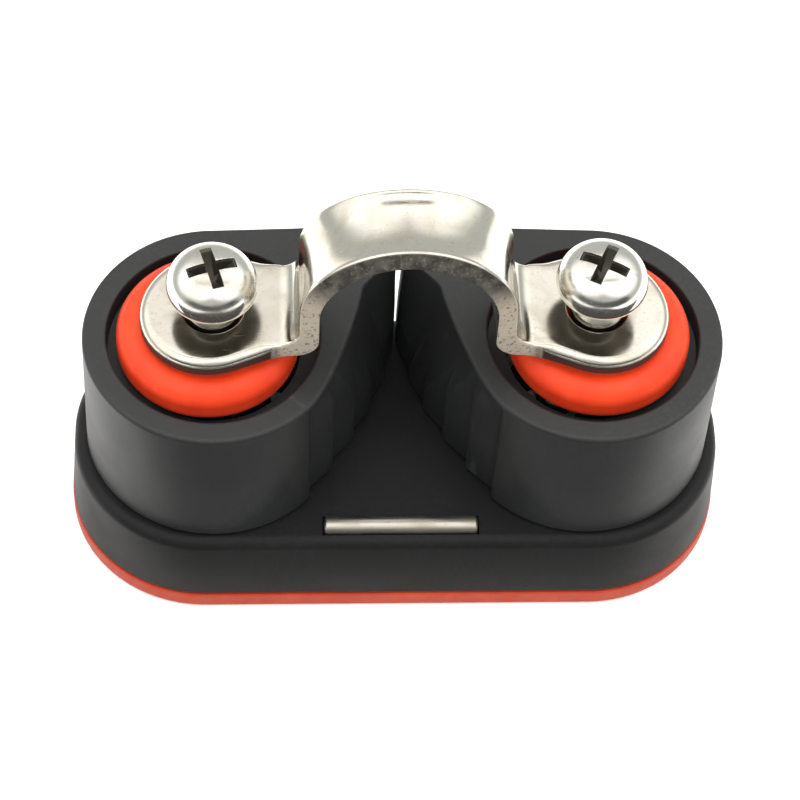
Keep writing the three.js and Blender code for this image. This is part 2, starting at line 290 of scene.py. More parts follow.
def full_turn(count):
    """Angles that divide a circle."""
    return [2 * math.pi * i / count for i in range(count)]


def turned(name, profile, segments=96, centre=(0, 0), closed=True):
    """A profile of (radius, z) points turned round a vertical axis."""
    return polar_grid(name, lambda a: profile, full_turn(segments), centre, closed)


def rounded_rectangle(shape, inset, per_corner=40, per_side=24):
    """Points round a shape's rectangle with round corners, moved in by inset."""
    radius = shape.corner - inset
    x, y = shape.half_x - shape.corner, shape.half_y - shape.corner
    centres = [(x, y, 0), (-x, y, 90), (-x, -y, 180), (x, -y, 270)]
    arcs = []
    for cx, cy, start in centres:
        angles = [math.radians(start + 90 * k / per_corner) for k in range(per_corner + 1)]
        arcs.append([(cx + radius * math.cos(a), cy + radius * math.sin(a)) for a in angles])
    points = []
    for i, arc in enumerate(arcs):
        points.extend(arc)
        (x0, y0), (x1, y1) = arc[-1], arcs[(i + 1) % 4][0]
        points.extend((lerp(x0, x1, k / per_side), lerp(y0, y1, k / per_side)) for k in range(1, per_side))
    return points


def slab(name, shape, profile):
    """A round-cornered block whose side follows (inset, z) points from bottom to top."""
    loops = [[(x, y, z) for x, y in rounded_rectangle(shape, inset)] for inset, z in profile]
    size = len(loops), len(loops[0])
    faces = band_faces(*size) + end_faces(*size)
    return mesh_object(name, [v for loop in loops for v in loop], faces)


# -------- materials


class Nodes:
    """Shorthand for adding nodes to a material's or a world's tree."""

    def __init__(self, tree):
        self.nodes = tree.nodes
        self.links = tree.links

    def plug(self, value, socket):
        if isinstance(value, bpy.types.NodeSocket):
            self.links.new(value, socket)
        else:
            socket.default_value = value

    def node(self, kind, **inputs):
        made = self.nodes.new(kind)
        for key, value in inputs.items():
            self.plug(value, made.inputs[key.replace("_", " ")])
        return made

    def ramp(self, value, low, high, to_low=0.0, to_high=1.0):
        """Runs smoothly from to_low to to_high as value goes from low to high."""
        made = self.node("ShaderNodeMapRange", Value=value, From_Min=low, From_Max=high)
        made.inputs["To Min"].default_value = to_low
        made.inputs["To Max"].default_value = to_high
        made.interpolation_type = "SMOOTHSTEP"
        return made.outputs["Result"]

    def math(self, operation, a, b=0.0):
        made = self.nodes.new("ShaderNodeMath")
        made.operation = operation
        for socket, value in zip(made.inputs, (a, b)):
            self.plug(value, socket)
        return made.outputs[0]

    def times(self, *factors):
        product = factors[0]
        for factor in factors[1:]:
            product = self.math("MULTIPLY", product, factor)
        return product

    def mix(self, factor, a, b):
        """A colour between a and b."""
        made = self.nodes.new("ShaderNodeMix")
        made.data_type = "RGBA"
        for index, value in ((0, factor), (6, a), (7, b)):
            self.plug((*value, 1) if isinstance(value, tuple) else value, made.inputs[index])
        return made.outputs[2]

    def axes(self, vector):
        return self.node("ShaderNodeSeparateXYZ", Vector=vector).outputs[:]


class Look(Nodes):
    """A procedural material: a Principled shader, and its nodes in millimetres."""

    def __init__(self, name, color, roughness, metallic=0.0, **sockets):
        self.material = bpy.data.materials.new(name)
        self.material.use_nodes = True
        super().__init__(self.material.node_tree)
        self.shader = self.nodes["Principled BSDF"]
        sockets.update(Base_Color=(*color, 1), Roughness=roughness, Metallic=metallic)
        for socket, value in sockets.items():
            self.shader.inputs[socket.replace("_", " ")].default_value = value
        self.place = self.nodes.new("ShaderNodeTexCoord").outputs["Object"]
        self.geometry = self.nodes.new("ShaderNodeNewGeometry").outputs
        self.height = None

    def noise(self, per_mm, detail=3.0, stretch=(1, 1, 1), rotation=(0, 0, 0), distortion=0.0):
        """Noise from 0 to 1 with that many features per millimetre, stretched and turned."""
        mapping = self.node("ShaderNodeMapping", Vector=self.place, Rotation=rotation)
        mapping.inputs["Scale"].default_value = [s / MM for s in stretch]
        where = mapping.outputs["Vector"]
        made = self.node("ShaderNodeTexNoise", Vector=where, Scale=per_mm, Detail=detail, Roughness=0.55)
        made.inputs["Distortion"].default_value = distortion
        return made.outputs["Fac"]

    def bump(self, height, depth_mm, strength=1.0):
        """Adds a height from 0 to 1 that stands depth_mm proud."""
        made = self.node("ShaderNodeBump", Height=height, Strength=strength, Distance=depth_mm * MM)
        if self.height is not None:
            self.links.new(self.height, made.inputs["Normal"])
        self.height = made.outputs["Normal"]
        self.links.new(self.height, self.shader.inputs["Normal"])

    def color(self, value):
        self.links.new(value, self.shader.inputs["Base Color"])

    def roughness(self, value):
        self.links.new(value, self.shader.inputs["Roughness"])


def worn_edges(look, low=0.52, high=0.62):
    """0 on flat faces and 1 on outside edges, broken up by noise."""
    edge = look.ramp(look.geometry["Pointiness"], low, high)
    return look.times(edge, look.ramp(look.noise(0.9, 4.0), 0.35, 0.65))


def black_plastic(name, painted_light_level, roughness, sheen):
    """Glass-filled nylon: near black, with a spark-eroded grain and slight handling marks."""
    # The level scales the near-black colour: below 1 it is painted shade, above 1 painted light, on one and
    # the same plastic.
    dark = tuple(c * painted_light_level for c in (0.0135, 0.0142, 0.0145))
    look = Look(name, dark, roughness, Specular_IOR_Level=sheen)
    cloud = look.noise(0.12, 4.0)
    fibre = look.noise(2.4, 2.0, stretch=(1, 1, 0.4))
    light = tuple(c * 1.5 for c in dark)
    tone = look.mix(look.times(look.ramp(cloud, 0.3, 0.7), look.ramp(fibre, 0.2, 0.9)), dark, light)
    look.color(look.mix(look.times(worn_edges(look), 0.5), tone, tuple(c * 3.0 for c in dark)))
    look.roughness(look.ramp(cloud, 0.25, 0.75, roughness - 0.05, roughness + 0.07))
    look.bump(look.noise(5.5, 2.0), 0.02, 0.55)
    look.bump(look.noise(0.6, 2.0), 0.03, 0.3)
    return look.material


def orange_plastic(name, color, roughness):
    """Moulded acetal: saturated, with faint flow marks and a soft sheen."""
    glow = dict(Subsurface_Weight=0.12, Subsurface_Radius=(1.0, 0.25, 0.1), Subsurface_Scale=0.6 * MM)
    look = Look(name, color, roughness, Specular_IOR_Level=0.3, **glow)
    cloud = look.noise(0.25, 3.0, distortion=0.6)
    deep = (color[0] * 0.86, color[1] * 0.72, color[2] * 0.7)
    look.color(look.mix(look.ramp(cloud, 0.3, 0.75), deep, color))
    look.roughness(look.ramp(look.noise(0.8, 3.0), 0.3, 0.7, roughness - 0.06, roughness + 0.08))
    look.bump(look.noise(3.5, 2.0), 0.012, 0.45)
    return look.material


def steel(name, color, roughness, grain=(1, 1, 1), grain_depth=0.002, marks=1.0, dulling_and_painted_shade=None):
    """Stainless steel: polishing lines along grain, smears and fine scratches.

    Its last argument, called with the look, gives a mask of stains and painted shade, and the colour, the
    added roughness and the metallic value where it is 1.
    """
    look = Look(name, color, roughness, metallic=1.0)
    smear = look.noise(0.22, 4.0, distortion=0.8)
    lines = look.noise(6.0, 3.0, stretch=grain)
    specks = look.ramp(look.noise(2.6, 3.0), 0.6, 0.7)
    scratch = look.ramp(look.noise(2.2, 2.0, stretch=(0.15, 2.5, 1.0), rotation=(0.3, 0.2, 0.6)), 0.66, 0.74)
    tarnish = tuple(c * f for c, f in zip(color, (0.84, 0.81, 0.75)))
    tone = look.mix(look.ramp(smear, 0.42, 0.75), color, tarnish)
    tone = look.mix(look.times(specks, 0.3 * marks), tone, tuple(c * 0.55 for c in color))
    base = look.ramp(smear, 0.3, 0.72, roughness - 0.05 * marks, roughness + 0.09 * marks)
    rough = look.math("ADD", base, look.ramp(lines, 0.3, 0.8, 0.0, 0.07 * marks))
    rough = look.math("ADD", rough, look.times(scratch, 0.12 * marks))
    if dulling_and_painted_shade:
        # Where the mask is 1 the colour takes stains and painted shade.
        stain_and_shade_mask, stain_and_shade_color, added, metallic = dulling_and_painted_shade(look)
        tone = look.mix(stain_and_shade_mask, tone, stain_and_shade_color)
        rough = look.math("ADD", rough, look.times(stain_and_shade_mask, added))
        look.links.new(look.ramp(stain_and_shade_mask, 0, 1, 1, metallic), look.shader.inputs["Metallic"])
    look.color(tone)
    look.roughness(rough)
    look.bump(lines, grain_depth, 0.6)
    look.bump(look.noise(0.35, 2.0), 0.01, 0.12)
    return look.material


def screw_grime_and_painted_shade(look):
    """The cross recesses and the undersides of the heads are rough and dark: painted shade, with some grime
    in the recesses.
    """
    x, y, z = (look.times(axis, 1 / MM) for axis in look.axes(look.place))
    across = look.math("SUBTRACT", look.math("ABSOLUTE", x), PIVOT_X)
    reach = look.math("SQRT", look.math("ADD", look.times(across, across), look.times(y, y)))
    lifted = look.times(look.math("GREATER_THAN", x), screw_tops["right"] - screw_tops["left"])
    depth = look.math("SUBTRACT", look.math("ADD", lifted, screw_tops["left"]), z)
    dome = look.times(look.math("POWER", reach, 3.0), DOME_FALL)
    below = look.ramp(look.math("SUBTRACT", depth, dome), 0.05, 0.45)
    recess = look.times(below, look.ramp(reach, 3.3, 3.0), look.ramp(depth, 3.0, 2.6))
    faces_down = look.ramp(look.axes(look.geometry["Normal"])[2], -0.3, -0.7)
    underside = look.times(faces_down, look.ramp(depth, 3.0, 3.2))
    # The dark colour is painted shade in the recesses and under the heads.
    return look.math("MAXIMUM", recess, underside), (0.085, 0.075, 0.06), 0.35, 0.8


def strap_edges(look):
    """The arch's sheared edges are matt and stained, with painted shade darkening them towards the crest, and
    the feet's edges are painted dark as a painted reflection of the shade beneath them.
    """
    x, _, height = (look.times(axis, 1 / MM) for axis in look.axes(look.place))
    x = look.math("ABSOLUTE", x)
    _, normal_y, normal_z = (look.math("ABSOLUTE", axis) for axis in look.axes(look.geometry["Normal"]))
    sheared = look.times(look.ramp(normal_y, 0.5, 0.8), look.ramp(x, 13.4, 12.8))
    rounded = look.times(look.ramp(normal_z, 0.4, 0.2), look.ramp(x, 12.8, 13.4))
    stain = look.ramp(look.noise(0.9, 5.0), 0.3, 0.65, 0.9, 1.0)
    # Painted shade: the sheared edges run from matt beige low down to near black at the crest, a painted dark
    # reflection.
    tone = look.mix(look.ramp(height, 38.5, 42.5), (0.44, 0.385, 0.31), (0.04, 0.036, 0.03))
    tone = look.mix(look.ramp(look.noise(3.2, 3.0), 0.56, 0.66), tone, (0.12, 0.1, 0.085))
    # Painted shade: the feet's edges turn near black, a painted dark reflection.
    tone = look.mix(look.ramp(x, 12.0, 13.5), tone, (0.04, 0.03, 0.025))
    return look.math("MAXIMUM", look.times(sheared, stain), rounded), tone, 0.26, 0.35


def white_acetal():
    """Plain acetal, a little yellowed."""
    look = Look("white_acetal", (0.78, 0.76, 0.7), 0.45)
    look.color(look.mix(look.ramp(look.noise(0.4), 0.3, 0.7), (0.74, 0.71, 0.64), (0.82, 0.8, 0.75)))
    look.roughness(look.ramp(look.noise(1.2), 0.3, 0.7, 0.38, 0.55))
    look.bump(look.noise(4.0), 0.01, 0.3)
    return look.material


STRAP_STEEL = dict(color=(0.72, 0.685, 0.615), roughness=0.13, grain=(0.15, 1.6, 1.6), dulling_and_painted_shade=strap_edges)
MATERIALS = {
    # The base's black is painted darker as painted shade and the cams' black lighter as painted light; both
    # are one plastic.
    "black_moulding": black_plastic("black_moulding", 0.6, 0.5, 0.19),
    "black_cam": black_plastic("black_cam", 1.1, 0.46, 0.42),
    "orange_moulding": orange_plastic("orange_moulding", (0.42, 0.048, 0.016), 0.5),
    "orange_bush": orange_plastic("orange_bush", (0.68, 0.05, 0.0125), 0.42),
    "polished_steel": steel("polished_steel", **STRAP_STEEL),
    "screw_steel": steel("screw_steel", (0.76, 0.745, 0.7), 0.15, dulling_and_painted_shade=screw_grime_and_painted_shade),
    "satin_steel": steel("satin_steel", (0.6, 0.57, 0.51), 0.34, grain=(0.08, 2, 2), grain_depth=0.006),
    "ball_steel": steel("ball_steel", (0.8, 0.8, 0.8), 0.1, marks=0.5),
    "spring_wire": steel("spring_wire", (0.55, 0.53, 0.49), 0.3),
    "white_acetal": white_acetal(),
}


def finish_piece(obj, body, slot, *nodes):
    """Gives a piece its material, its body and the CAD nodes that it stands for."""
    obj.data.materials.clear()
    obj.data.materials.append(MATERIALS[slot])
    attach(obj, body)
    if nodes:
        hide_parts(*nodes)


# -------- base and plate


def rim_profile(low, high, low_edge, high_edge, draft=0.0, steps=8):
    """(inset, z) points up a side with both edges rounded."""
    points = [(low_edge * (1 - s), low + low_edge * (1 - c)) for c, s in quarter_turn(steps)]
    points.append((draft * 0.5, (low + high) / 2))
    points += [(draft + high_edge * (1 - c), high - high_edge * (1 - s)) for c, s in quarter_turn(steps)]
    return points


def hole_cutter(radius, low, high, lip, centre):
    """A round cutter that flares by lip where it breaks the top face, at high."""
    profile = [(radius, low), (radius, high - lip)]
    profile += [(radius + lip * (1 - c), high - lip + lip * s) for c, s in quarter_turn(6, first=1)]
    profile.append((radius + lip, high + 1))
    return turned("cutter", profile, 96, centre, closed=False)


def make_plate():
    """The orange plate under the base."""
    low, high = PLATE.low, PLATE.high
    plate = slab("bottom_plate_moulding", PLATE, rim_profile(low, high, 0.35, 0.2))
    centres = [(side * PIVOT_X, 0) for side in SIDES.values()]
    carve(plate, *[hole_cutter(SCREW_HOLE, low - 1, high, 0.15, centre) for centre in centres])
    even_normals(plate)
    finish_piece(plate, ROOT, "orange_moulding", "bottom_plate")


def bar_groove():
    """The round-bottomed seat of the wear bar, open at the top."""
    radius = (bar_high.z - bar_low.z) / 2 + 0.12
    y, z = (bar_low.y + bar_high.y) / 2, (bar_low.z + bar_high.z) / 2
    outline = [(y + radius, BASE.high + 1), (y + radius, z)]
    arc = [-math.pi * k / 16 for k in range(1, 16)]
    outline += [(y + radius * math.cos(a), z + radius * math.sin(a)) for a in arc]
    outline += [(y - radius, z), (y - radius, BASE.high + 1)]
    ends = (bar_low.x - 0.2, bar_high.x + 0.2)
    verts = [(x, py, pz) for x in ends for py, pz in outline]
    return mesh_object("cutter", verts, band_faces(2, len(outline)) + end_faces(2, len(outline)))


def make_base():
    """The black base, with the wear bar's groove and a pocket for each spring."""
    base = slab("base_moulding", BASE, rim_profile(BASE.low, BASE.high, **BASE_EDGE))
    cutters = [bar_groove()]
    for side in SIDES.values():
        centre = (side * PIVOT_X, 0)
        cutters.append(hole_cutter(BUSH_BORE, BASE.low - 1, POCKET.floor + 1, 0.1, centre))
        cutters.append(hole_cutter(POCKET.radius, POCKET.floor, BASE.high, 0.3, centre))
        cutters.append(spring_slot(side))
    carve(base, *cutters)
    even_normals(base)
    finish_piece(base, ROOT, "black_moulding", "base")


def spring_slot(side):
    """The slot that holds the fixed leg of a spring."""
    angle = math.radians(SPRING.start)
    if side > 0:
        angle = math.pi - angle
    turn = Matrix.Rotation(angle, 3, "Z")
    x0, x1 = SPRING.radius, SPRING.leg + 0.9
    half = NOTCH.half_width
    corners = [
        turn @ Vector((x, y, z)) + Vector((side * PIVOT_X, 0, 0))
        for z in (POCKET.floor + 0.01, BASE.high + 1)
        for x, y in ((x0, -half), (x1, -half), (x1, half), (x0, half))
    ]
    return mesh_object("cutter", corners, band_faces(2, 4) + end_faces(2, 4))


def make_wear_bar():
    """A drawn rod with chamfered ends, lying along X."""
    radius = (bar_high.z - bar_low.z) / 2
    half = (bar_high.x - bar_low.x) / 2
    chamfer = 0.18
    end = [(0.0, half, 0), (radius - chamfer, half, 0.05), (radius, half - chamfer, 0.08)]
    profile = fillet([(r, -along, edge) for r, along, edge in end] + end[::-1], 3)
    bar = turned("wear_bar_rod", profile[1:-1], 48, closed=False)
    centre = (bar_low + bar_high) / 2
    bar.data.transform(Matrix.Translation(centre * MM) @ Matrix.Rotation(math.pi / 2, 4, "Y"))
    shade(bar)
    finish_piece(bar, ROOT, "satin_steel", "wear_bar")


# -------- cams


def tip_at(z):
    """How far the nose reaches from the pivot, at a height."""
    return lerp(TIP.low, TIP.high, smoothstep((z - TIP.start) / (TIP.end - TIP.start)))


def along_jaw(angle):
    """0 where the jaw leaves the drum and 1 at its tip."""
    return min(max((angle - JAW.start) / (JAW.end - JAW.start), 0.0), 1.0)


def jaw_reach(angle, z):
    """How far the jaw reaches from the pivot, at an angle in degrees."""
    nose = tip_at(z) / math.cos(math.radians(JAW.end))
    return CAM.drum + (nose - CAM.drum) * along_jaw(angle) ** JAW.power


def tooth_depth(angle):
    """A saw tooth's depth: full at its root, falling to nothing at its tip."""
    edges, step = TEETH.edges, TEETH.step
    if angle < edges[0]:
        return 0.09 * smoothstep((angle - edges[0] + 1.6) / 1.6) ** 2
    for first, last in zip(edges, edges[1:]):
        if angle < last:
            along = (angle - first) / (last - first)
            ramp = TEETH.depth * (1 - along) ** 0.85
            rounded = ramp + 0.1 * smoothstep((along - 0.88) / 0.12) ** 2
            return lerp(0.1, rounded, smoothstep((angle - first) / step))
    return 0.1 * (1 - smoothstep((angle - edges[-1]) / 1.5))


def lean_of(angle):
    """The height where the jaw starts to lean back, and how far it leans by the top."""
    if not JAW.start < angle < LEAN.fade_to:
        return LEAN_START.highest, 0.0
    fade = 1 - smoothstep((angle - LEAN.fade_from) / (LEAN.fade_to - LEAN.fade_from))
    start = LEAN_START.highest - LEAN_START.drop * along_jaw(angle) ** LEAN_START.power
    return max(start, LEAN_START.lowest), LEAN.most * along_jaw(angle) ** LEAN.power * fade


def lean_at(angle, z):
    """How far the jaw has leaned back at a height."""
    start, most = lean_of(angle)
    return most * min(max((z - start) / (CAM.high - start), 0.0), 1.0)


def tooth_top(angle, depth):
    """Where a face that stands back by depth runs out into the leaning face above it."""
    start, most = lean_of(angle)
    rise = depth / most * (CAM.high - start) if most > 0.01 else CAM.high
    return min(start + rise, TEETH.top)


def nose_reach(angle, drum, z):
    """The nose beyond the jaw: a flat inner face, a round corner and the nearly straight back."""
    turn, tip = math.radians(angle), tip_at(z)
    corner = NOSE.corner
    cx, cy = tip - corner, drum + NOSE.rise - corner
    if angle <= math.degrees(math.atan2(cy, tip)):
        return tip / math.cos(turn)
    if angle >= math.degrees(math.atan2(cy + corner, cx)):
        return drum / (math.sin(turn) - NOSE.rise / cx * math.cos(turn))
    distance, bearing = math.hypot(cx, cy), math.atan2(cy, cx)
    off = turn - bearing
    return distance * math.cos(off) + math.sqrt(max(corner**2 - (distance * math.sin(off)) ** 2, 0.0))


def cam_outline(angle, drum, z):
    """The cam's smooth outline, without teeth, at an angle in degrees from -180 to 180."""
    if JAW.start <= angle < JAW.end:
        return jaw_reach(angle, z) + (drum - CAM.drum) * (1 - smoothstep((angle - JAW.start) / 20))
    if JAW.end <= angle <= 90:
        return nose_reach(angle, drum, z)
    return drum


def outer_skin(angle):
    """(reach, z) points up the outside of the cam, from its foot to the edge of its top face."""
    low, high = CAM.low, CAM.high
    foot, top_edge = 0.35, 0.5
    depth = tooth_depth(angle)
    turn_z = tooth_top(angle, depth)

    def drum_at(z):
        return lerp(CAM.foot, CAM.drum, min((z - low) / (high - low) * 1.1, 1.0))

    def reach(z):
        blend = smoothstep((z - turn_z) / 0.3)
        back = max(lean_at(angle, z), depth * (1 - blend))
        return cam_outline(angle, drum_at(z), z) - back

    outer_low = reach(low)
    points = [(outer_low - foot - 0.2, low)]
    points += [(outer_low - foot * (1 - s), low + foot * (1 - c)) for c, s in quarter_turn(4)]
    floor = low + foot
    points += [(reach(z), z) for z in (lerp(floor, turn_z, k / 7) for k in range(1, 8))]
    ceiling = high - top_edge
    run_outs = [turn_z + min(0.1 * k, (ceiling - turn_z) * k / 4) for k in range(1, 4)]
    points += [(reach(z), z) for z in run_outs]
    start = points[-1][1]
    points += [(reach(z), z) for z in (lerp(start, ceiling, k / 7) for k in range(1, 7))]
    corner = Vector((reach(high), high))
    below = Vector((reach(ceiling), ceiling))
    inside = corner + Vector((-top_edge, 0))
    for k in range(8):
        t = k / 7
        spot = below * (1 - t) ** 2 + corner * 2 * t * (1 - t) + inside * t**2
        points.append((spot.x, spot.y))
    points.append((inside.x - 0.08, high))
    return points


def cam_profile(turn):
    """The cam's section at an angle, from the foot of the bore out, up, in and back down."""
    angle = math.degrees((turn + math.pi) % (2 * math.pi) - math.pi)
    low, high = CAM.low, CAM.high
    notch_angle = (SPRING.start + 360 * SPRING.turns) % 360
    off = (math.degrees(turn) - notch_angle + 180) % 360 - 180
    in_notch = abs(math.sin(math.radians(off))) * CAM.bore < NOTCH.half_width and abs(off) < 60
    bore_low = NOTCH.radius if in_notch else CAM.bore
    notch_top = low + NOTCH.height
    points = [(bore_low + 0.1, low), (lerp(bore_low, CAM.foot, 0.4), low)]
    points += outer_skin(angle)
    recess, floor, lip = CAM.recess, CAM.recess_floor, 0.25
    points.append((lerp(points[-1][0], recess + lip, 0.6), high))
    points.append((recess + lip + 0.06, high))
    points += [(recess + lip * (1 - s), high - lip * (1 - c)) for c, s in quarter_turn(4)]
    points += [(recess, floor + 0.4), (recess - 0.05, floor + 0.1), (recess - 0.3, floor)]
    points += [(CAM.bore + 0.3, floor), (CAM.bore + 0.05, floor - 0.05), (CAM.bore, floor - 0.3)]
    points += [(CAM.bore, notch_top + 0.02), (bore_low, notch_top), (bore_low, low + 0.1)]
    return points


def cam_angles():
    """The angles, in degrees, at which a cam's section changes enough to need its own points."""
    angles = [-180 + 2.0 * k for k in range(66)]
    angles += [-48.5, -47, -46, -45, -44, -43.4, -42.8, -42.4, -42.0001]
    shares = (0, 0.06, 0.14, 0.23, 0.32, 0.41, 0.5, 0.58, 0.66, 0.74, 0.81, 0.86, 0.9, 0.93, 0.96, 0.98)
    for first, last in zip(TEETH.edges, TEETH.edges[1:]):
        start = first + TEETH.step
        angles.append(first + TEETH.step / 2)
        angles += [lerp(start, last, t) for t in shares] + [last - 0.0001]
    angles += [28.4, 28.8, 29.2, 29.8, 30.4, 31, 31.6, 32.2]
    angles += [33 + 0.8 * k for k in range(18)] + [48 + 2.0 * k for k in range(66)]
    return [math.radians(a) for a in angles]


def make_cam(label, side):
    """A cam, made facing +X and mirrored for the right side."""
    cam = polar_grid(f"{label}_cam_moulding", cam_profile, cam_angles(), sharp_deg=38)
    mirror = Matrix.Diagonal((-side, 1, 1, 1))
    cam.data.transform(Matrix.Translation((side * PIVOT_X * MM, 0, 0)) @ mirror)
    if side > 0:
        cam.data.flip_normals()
    shade(cam, 38)
    even_normals(cam)
    finish_piece(cam, f"{label}_cam_body", "black_cam", f"{label}_cam")


# -------- bushes, balls, springs


def make_bush(label, side):
    """The post that the cam turns on, and the thick round flange set a little outboard of it."""
    bottom, top, low = bush_low.z, bush_high.z, FLANGE.bottom
    shoulder_top = washer_low.z - POST.washer_gap
    pivot, flange = (side * PIVOT_X, 0), (side * (PIVOT_X + FLANGE.outboard), 0)
    radius = FLANGE.radius
    post = [(0.02, bottom, 0), (POST.shoulder, bottom, 0.3), (POST.shoulder, shoulder_top, 0.15)]
    post += [(POST.tube, shoulder_top, 0.1), (POST.tube, low + 1, 0), (0.02, low + 1, 0)]
    cap = [(0.02, low, 0), (radius, low, FLANGE.under_edge), (radius, top, FLANGE.edge)]
    cap += [(radius - 4.6, top, 0), (0.02, top, 0)]
    bush = turned(f"{label}_bush_moulding", fillet(post), 96, pivot, closed=False)
    carve(bush, turned("cap", fillet(cap, 10), 128, flange, closed=False), operation="UNION")
    bore = [(SCREW_HOLE, z) for z in (bottom - 1, (bottom + top) / 2, top + 1)]
    carve(bush, turned("cutter", bore, 96, pivot, closed=False))
    even_normals(bush)
    finish_piece(bush, ROOT, "orange_bush", f"{label}_pivot_bush")


def race_ring(name, side, low, high, edge):
    """A flat ring round the bush's tube, with its edges rounded."""
    inner, outer = RACE_BORE, (high.x - low.x) / 2
    seam = ((inner + outer) / 2, low.z, 0)
    corners = [(outer, low.z), (outer, high.z), (inner, high.z), (inner, low.z)]
    profile = fillet([seam, *[(*corner, edge) for corner in corners], seam], 4)
    return turned(name, profile[:-1], 96, (side * PIVOT_X, 0))


def make_races(label, side):
    """The washer under a cam's balls, and the spacer between their two rows."""
    washer = race_ring(f"{label}_washer_ring", side, washer_low, washer_high, 0.12)
    finish_piece(washer, ROOT, "satin_steel", f"{label}_thrust_washer")
    spacer = race_ring(f"{label}_spacer_ring", side, spacer_low, spacer_high, 0.3)
    finish_piece(spacer, ROOT, "white_acetal", f"{label}_race_spacer")


def make_balls(label):
    """The two rows of balls between a bush and its cam."""
    for level in ("lower", "upper"):
        for index in range(1, 11):
            node = f"{label}_{level}_ball_{index:02d}"
            low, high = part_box(node)
            mesh = bpy.data.meshes.new(f"{node}_sphere")
            bm = bmesh.new()
            bmesh.ops.create_icosphere(bm, subdivisions=3, radius=(high.z - low.z) / 2)
            bmesh.ops.translate(bm, verts=bm.verts, vec=(low + high) / 2)
            bm.to_mesh(mesh)
            bm.free()
            ball = bpy.data.objects.new(f"{node}_sphere", mesh)
            bpy.context.scene.collection.objects.link(ball)
            shade(ball, 60)
            finish_piece(ball, f"{label}_ball_set", "ball_steel", node)


def wire_along(name, points, radius, sides=14):
    """A round wire through points, with domed ends."""
    verts = []
    count = len(points)
    normal = Vector((0, 0, 1))
    for i, point in enumerate(points):
        ahead = points[min(i + 1, count - 1)] - points[max(i - 1, 0)]
        ahead.normalize()
        normal = (normal - ahead * normal.dot(ahead)).normalized()
        side = ahead.cross(normal)
        size = radius if 0 < i < count - 1 else radius * 0.6
        for k in range(sides):
            a = 2 * math.pi * k / sides
            verts.append(point + (normal * math.cos(a) + side * math.sin(a)) * size)
    return mesh_object(name, verts, band_faces(count, sides) + end_faces(count, sides), 50)


def make_spring(label, side):
    """A torsion spring, from its leg in the base up to its leg in the cam."""
    wire = SPRING.wire
    low = spring_low.z + wire + 0.05
    leg_top = spring_high.z - wire - 0.05
    high = low + SPRING.rise
    first = math.radians(SPRING.start)
    total = math.radians(360 * SPRING.turns)

    def spot(radius, along, z):
        a = first + total * along
        return Vector((-side * radius * math.cos(a) + side * PIVOT_X, radius * math.sin(a), z))

    points = [spot(lerp(SPRING.leg, SPRING.radius + 0.9, k / 6), 0.0, low) for k in range(6)]
    points.append(spot(SPRING.radius + 0.25, 0.004, low))
    steps = 240
    for k in range(steps):
        points.append(spot(SPRING.radius, lerp(0.012, 0.988, k / steps), lerp(low, high, k / steps)))
    points += [
        spot(SPRING.radius + 0.05, 0.995, high + 0.35),
        spot(SPRING.radius + 0.2, 1.0, high + 0.9),
        spot(SPRING.radius + 0.6, 1.0, leg_top - 0.1),
    ]
    points += [spot(lerp(SPRING.radius + 1.1, SPRING.leg, k / 5), 1.0, leg_top) for k in range(6)]
    spring = wire_along(f"{label}_spring_wire", points, wire)
    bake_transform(spring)
    spring.data.materials.append(MATERIALS["spring_wire"])
    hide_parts(f"{label}_torsion_spring")


# -------- screws


def thread_radius(z, turn, low, high):
    """The radius of a rolled thread that fades in at the tip and out under the head."""
    along = (z / THREAD.pitch - turn / (2 * math.pi)) % 1.0
    ridge = min(max((0.88 - abs(2 * along - 1)) / 0.7, 0.0), 1.0)
    plain = smoothstep((z - high) / 1.0)
    fade = smoothstep((z - low) / 1.2) * (1 - plain)
    return lerp(THREAD.core, THREAD.radius, ridge * fade + (1 - fade) * plain)


def screw_profile(turn, tip_z, head_z):
    """(radius, z) points up a screw: its point, thread, collar at the saddle, neck and head."""
    head, rise, lip = SCREW.head, SCREW.height, SCREW.lip
    foot_top = foot_faces_at(-PIVOT_X)[1]
    top = foot_top - 2.4
    points = [(0.02, tip_z), (THREAD.point, tip_z)]
    steps = int((top - tip_z) / 0.1)
    for k in range(steps):
        z = tip_z + 0.3 + (top - tip_z - 0.3) * k / (steps - 1)
        pointed = min(THREAD.point + 0.05 + (z - tip_z) * 0.62, THREAD.radius)
        points.append((min(thread_radius(z, turn, tip_z + 1.0, head_z - THREAD.end), pointed), z))
    collar, collar_z = SCREW.collar, foot_top + 0.25
    points += [(collar, collar_z - 2.2), (collar, collar_z - 0.2), (collar - 0.1, collar_z)]
    points += [(SCREW.neck + 0.7 * (1 - c), head_z - 0.7 + 0.7 * s) for c, s in quarter_turn(5)]
    points += [(3.6, head_z), (head - lip, head_z)]
    points += [(head - lip + lip * s, head_z + lip * (1 - c)) for c, s in quarter_turn(5, first=1)]
    dome = quarter_turn(25, first=1)[:-1]
    points += [(head * c ** SCREW.dome, head_z + lip + (rise - lip) * s) for c, s in dome]
    points.append((0.02, head_z + rise))
    return points


def recess_cutter(centre, top_z, turn):
    """A cross recess: two tapering blades, in levels of half length, half width and height."""
    levels = [(2.75, 0.62, 0.7), (2.4, 0.56, -0.4), (1.3, 0.42, -1.6), (0.4, 0.3, -2.1)]
    blades = []
    for quarter in (0, math.pi / 2):
        verts = []
        for length, half, dz in levels:
            verts += [(length, -half, dz), (length, half, dz), (-length, half, dz), (-length, -half, dz)]
        blade = mesh_object("cutter", verts, band_faces(len(levels), 4) + end_faces(len(levels), 4))
        place = Matrix.Translation((centre[0] * MM, centre[1] * MM, top_z * MM))
        blade.data.transform(place @ Matrix.Rotation(turn + quarter, 4, "Z"))
        blades.append(blade)
    return blades


